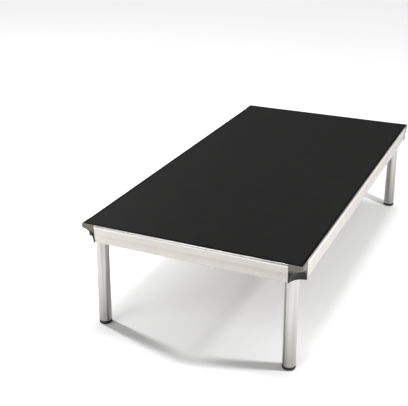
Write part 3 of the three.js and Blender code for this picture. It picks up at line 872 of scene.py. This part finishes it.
def foot_profile():
    """The rubber end cap: flush with the tube, a stem inside it, and a shallow ring under the sole."""
    stem = LEG_BORE - GAP
    stem_top = FOOT_HEIGHT + FOOT_STEM
    points = [(0, 0), (SOLE_RING_START, 0), (SOLE_RING_START + 1, EDGE_BREAK)]
    points += [(SOLE_RING_END - 1, EDGE_BREAK), (SOLE_RING_END, 0)]
    points += arc(LEG_RADIUS - FOOT_ROUND, FOOT_ROUND, FOOT_ROUND, FOOT_ROUND, -90, 0)
    points += [(LEG_RADIUS, FOOT_HEIGHT - EDGE_BREAK), (LEG_RADIUS - EDGE_BREAK, FOOT_HEIGHT)]
    points += [(stem, FOOT_HEIGHT), (stem, stem_top - 2), (stem - 2, stem_top), (0, stem_top)]
    return points


def plug_profile(base):
    """The cap on a leg's top: a rim over the tube's end and a stem with a lip inside it."""
    outer = LEG_RADIUS - 1
    inner = LEG_BORE - GAP
    stem = base - PLUG_STEM
    top = base + PLUG_RIM
    return [
        (0, stem), (inner - 2, stem), (inner - 2, stem - 2), (inner - 1, stem - 2),
        (inner, stem - 0.5), (inner, base), (outer, base), (outer, top - EDGE_BREAK),
        (outer - EDGE_BREAK, top), (0, top),
    ]


def make_legs():
    low = FOOT_HEIGHT + GAP
    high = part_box("leg_front_left")[1].z / MM
    plug_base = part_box("leg_plug_front_left")[1].z / MM - PLUG_RIM
    for index, name in enumerate(CORNERS):
        axis = corner_matrix(index) @ Matrix.Translation((LEG_INSET * MM, LEG_INSET * MM, 0))
        parts = [
            ("leg", leg_profile(low, high), "leg_aluminium"),
            ("foot_cap", foot_profile(), "black_rubber"),
            ("leg_plug", plug_profile(plug_base), "black_plastic"),
        ]
        for kind, profile, slot in parts:
            piece = put(f"{kind}_{name}", mesh_from(lathe(profile), kind), axis)
            shade(piece, 40)
            stand_for(piece, f"leg_{name}", slot, f"{kind}_{name}")


# ------------------------------------------------------------------ clamps and bolts


def knob_mesh():
    """A star knob on a hub, with well rounded edges."""
    steps = KNOB_LOBE_STEPS * KNOB_LOBES
    outline = []
    for step in range(steps):
        angle = step / steps * math.tau
        reach = KNOB_RADIUS + KNOB_LOBE_HEIGHT * math.cos(KNOB_LOBES * angle)
        outline.append((reach * math.cos(angle), reach * math.sin(angle)))
    knob = put("knob", mesh_from(prism(outline, KNOB_START, KNOB_END), "knob"))
    carve(knob, [
        (cylinder(KNOB_HUB_RADIUS, KNOB_HUB_START, KNOB_START + 2, SMALL_STEPS), "UNION"),
        (cylinder(SCREW_RADIUS + GAP, KNOB_HUB_START - 2, SCREW_END + GAP, SMALL_STEPS), "DIFFERENCE"),
    ])
    soften(knob, 1.6, 4, 50)
    return taken_from(knob)


def screw_profile():
    """A stud with thread ridges along most of it."""
    lead = 0.8
    end_break = 0.6
    points = [(0, SCREW_START), (THREAD_ROOT - 0.7, SCREW_START), (THREAD_ROOT, SCREW_START + lead)]
    level = SCREW_START + 1
    while level + THREAD_PITCH < SCREW_END - PLAIN_END:
        points += [(THREAD_ROOT, level), (SCREW_RADIUS, level + THREAD_PITCH / 2)]
        level += THREAD_PITCH
    points += [(SCREW_RADIUS, level + THREAD_PITCH / 2), (SCREW_RADIUS, SCREW_END - end_break)]
    points += [(SCREW_RADIUS - end_break, SCREW_END), (0, SCREW_END)]
    return points


def make_clamps():
    knob = knob_mesh()
    along_diagonal = Matrix.Rotation(math.pi / 4, 4, "Z") @ Matrix.Rotation(math.pi / 2, 4, "Y")
    for index, name in enumerate(CORNERS):
        place = Matrix.Translation((LEG_INSET * MM, LEG_INSET * MM, CLAMP_HEIGHT * MM))
        axis = corner_matrix(index) @ place @ along_diagonal
        star = put(f"clamp_knob_{name}", knob.copy(), axis @ Matrix.Rotation(KNOB_TURN, 4, "Z"))
        stand_for(star, f"clamp_screw_{name}", "black_plastic", f"clamp_knob_{name}")
        stud_mesh = mesh_from(lathe(screw_profile(), SMALL_STEPS), "stud")
        stud = put(f"clamp_screw_{name}", stud_mesh, axis)
        shade(stud, 30)
        stand_for(stud, f"clamp_screw_{name}", "zinc_steel", f"clamp_screw_{name}")
        pad_mesh = mesh_from(cylinder(PAD_RADIUS, PAD_START, PAD_END, SMALL_STEPS), "pad")
        pad = put(f"clamp_pad_{name}", pad_mesh)
        leg_side = turned_to(cylinder(LEG_RADIUS + GAP, -20, 20), (0, 0, 0), (1, 0, 0))
        carve(pad, [(leg_side, "DIFFERENCE")])
        pad.matrix_world = axis
        soften(pad, 0.4, 2)
        stand_for(pad, f"clamp_pad_{name}", "natural_nylon", f"clamp_pad_{name}")


def bolt_mesh():
    """A hexagon-head bolt along +Z: its head starts one gap up and its shank runs back."""
    outline = []
    for corner in range(6):
        angle = math.tau * corner / 6
        outline.append((BOLT_HEAD_RADIUS * math.cos(angle), BOLT_HEAD_RADIUS * math.sin(angle)))
    bolt = put("bolt", mesh_from(prism(outline, GAP, BOLT_HEAD_HEIGHT), "bolt"))
    top = BOLT_HEAD_HEIGHT + 0.2
    flat = BOLT_HEAD_RADIUS - 1.5
    clear = BOLT_HEAD_RADIUS + 2.5
    crown = lathe([(flat, top), (clear, top), (clear, BOLT_HEAD_HEIGHT - 2), (flat, top)])
    shank = cylinder(BOLT_RADIUS, -BOLT_SHANK, 1, SMALL_STEPS)
    carve(bolt, [(crown, "DIFFERENCE"), (shank, "UNION")])
    soften(bolt, 0.25, 2, 25)
    return taken_from(bolt)


def make_bolts():
    mesh = bolt_mesh()
    quarter = Matrix.Rotation(math.pi / 2, 4, "Z")
    inward_y = Matrix.Rotation(-math.pi / 2, 4, "X") @ quarter
    inward_x = Matrix.Rotation(math.pi / 2, 4, "Y") @ quarter
    for index, name in enumerate(CORNERS):
        corner = corner_matrix(index)
        places = {
            "a": ((RAIL_BOLT_PLACE, RAIL_DEPTH), inward_y),
            "b": ((RAIL_DEPTH, RAIL_BOLT_PLACE), inward_x),
        }
        for letter, ((x, y), turn) in places.items():
            node = f"rail_bolt_{name}_{letter}"
            place = corner @ Matrix.Translation((x * MM, y * MM, CLAMP_HEIGHT * MM)) @ turn
            piece = put(node, mesh.copy(), place)
            stand_for(piece, "deck", "zinc_steel", node)
    for side, sign in SIDES.items():
        for member in MEMBERS:
            node = f"cleat_bolt_{member}_{side}"
            low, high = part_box(node)
            turn = Matrix.Rotation(-sign * math.pi / 2, 4, "Y")
            x = sign * (HALF_X - RAIL_DEPTH - GAP - CLEAT_THICKNESS) * MM
            place = Matrix.Translation((x, (low.y + high.y) / 2, (low.z + high.z) / 2))
            piece = put(node, mesh.copy(), place @ turn)
            stand_for(piece, "deck", "zinc_steel", node)


# ------------------------------------------------------------------ cross members


def make_members():
    for member in MEMBERS:
        node = f"cross_member_{member}"
        low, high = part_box(node)
        half_width = (high.y - low.y) / 2 / MM
        half_height = (high.z - low.z) / 2 / MM
        half = (high.x - low.x) / 2 / MM
        section = rounded_box(half_width, half_height, MEMBER_ROUND)
        hollow = rounded_box(half_width - MEMBER_WALL, half_height - MEMBER_WALL, MEMBER_INNER_ROUND)
        builder = prism(section, -half, half, [hollow])
        builder.transform(ALONG_X)
        piece = put(node, mesh_from(builder, node), Matrix.Translation((low + high) / 2))
        shade(piece, 40)
        stand_for(piece, "deck", "mill_aluminium", node)


def make_cleats():
    for side, sign in SIDES.items():
        for member in MEMBERS:
            node = f"cleat_{member}_{side}"
            low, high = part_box(node)
            reach = (high.x - low.x) / MM
            drop = (high.z - low.z) / MM
            half = (high.y - low.y) / 2 / MM
            bend = CLEAT_THICKNESS + CLEAT_FILLET
            outline = [(0, -drop), (CLEAT_THICKNESS, -drop), (CLEAT_THICKNESS, -bend)]
            outline += arc(bend, -bend, CLEAT_FILLET, CLEAT_FILLET, 180, 90, 4)
            outline += [(reach, -CLEAT_THICKNESS), (reach, 0), (0, 0)]
            builder = prism(outline, -half, half)
            builder.transform(ALONG_Y)
            back = high.x if sign > 0 else low.x
            place = Matrix.Translation((back, (low.y + high.y) / 2, high.z))
            if sign > 0:
                place = place @ Matrix.Rotation(math.pi, 4, "Z")
            piece = put(node, mesh_from(builder, node), place)
            soften(piece, 0.6, 2)
            stand_for(piece, "deck", "mill_aluminium", node)


make_skin()
make_core()
make_rails()
make_castings()
make_legs()
make_clamps()
make_bolts()
make_members()
make_cleats()

# ------------------------------------------------------------------ floor and lights

FLOOR_REACH = 60
WORLD_FRONT = 0.24
WORLD_BACK = 0.42


def make_floor():
    """A white studio floor that reaches past every view."""
    builder = bmesh.new()
    bmesh.ops.create_grid(builder, x_segments=1, y_segments=1, size=FLOOR_REACH)
    mesh = bpy.data.meshes.new("floor")
    builder.to_mesh(mesh)
    builder.free()
    floor = put("floor", mesh)
    look = Look("floor_white", Metallic=0.0, Specular_IOR_Level=0.2)
    look.colour(look.mix(look.noise(0.8, 3, 0.5), grey(0.90), grey(0.93)))
    look.rough(look.between(look.noise(3, 4, 0.6), 0.3, 0.7, 0.7, 0.85))
    mesh.materials.append(look.material)


def make_world():
    """Soft light from all around, weaker from the front of the studio than from its back."""
    world = bpy.data.worlds.new("studio")
    world.use_nodes = True
    tree = world.node_tree
    background = tree.nodes["Background"]
    background.inputs["Color"].default_value = grey(1.0)
    place = tree.nodes.new("ShaderNodeTexCoord")
    split = tree.nodes.new("ShaderNodeSeparateXYZ")
    fade = tree.nodes.new("ShaderNodeMapRange")
    tree.links.new(place.outputs["Generated"], split.inputs["Vector"])
    tree.links.new(split.outputs["Y"], fade.inputs["Value"])
    fade.inputs["From Min"].default_value = -1
    fade.inputs["To Min"].default_value = WORLD_FRONT
    fade.inputs["To Max"].default_value = WORLD_BACK
    tree.links.new(fade.outputs["Result"], background.inputs["Strength"])
    bpy.context.scene.world = world


def make_lamp(name, place, power, radius):
    """A round lamp beside the deck, which the camera does not see."""
    data = bpy.data.lights.new(name, "POINT")
    data.energy = power
    data.shadow_soft_size = radius
    light = bpy.data.objects.new(name, data)
    light.location = place
    light.visible_camera = False
    bpy.context.scene.collection.objects.link(light)


def make_light(name, rise, strength, softness):
    """A far soft light. The rise is the direction towards it, and the softness its width in degrees."""
    data = bpy.data.lights.new(name, "SUN")
    data.energy = strength
    data.angle = math.radians(softness)
    light = bpy.data.objects.new(name, data)
    light.rotation_mode = "QUATERNION"
    light.rotation_quaternion = Vector(rise).to_track_quat("Z", "Y")
    bpy.context.scene.collection.objects.link(light)


make_floor()
make_world()
make_light("light_top", rise=(0.0, 0.12, 1.0), strength=1.35, softness=16)
make_lamp("light_left", place=(-2.93, -0.20, 2.27), power=350, radius=0.20)
make_lamp("light_right", place=(2.48, -0.25, 2.36), power=300, radius=0.20)
make_light("light_front", rise=(-0.45, -0.80, 0.75), strength=0.90, softness=36)
bpy.context.scene.view_settings.view_transform = "Standard"
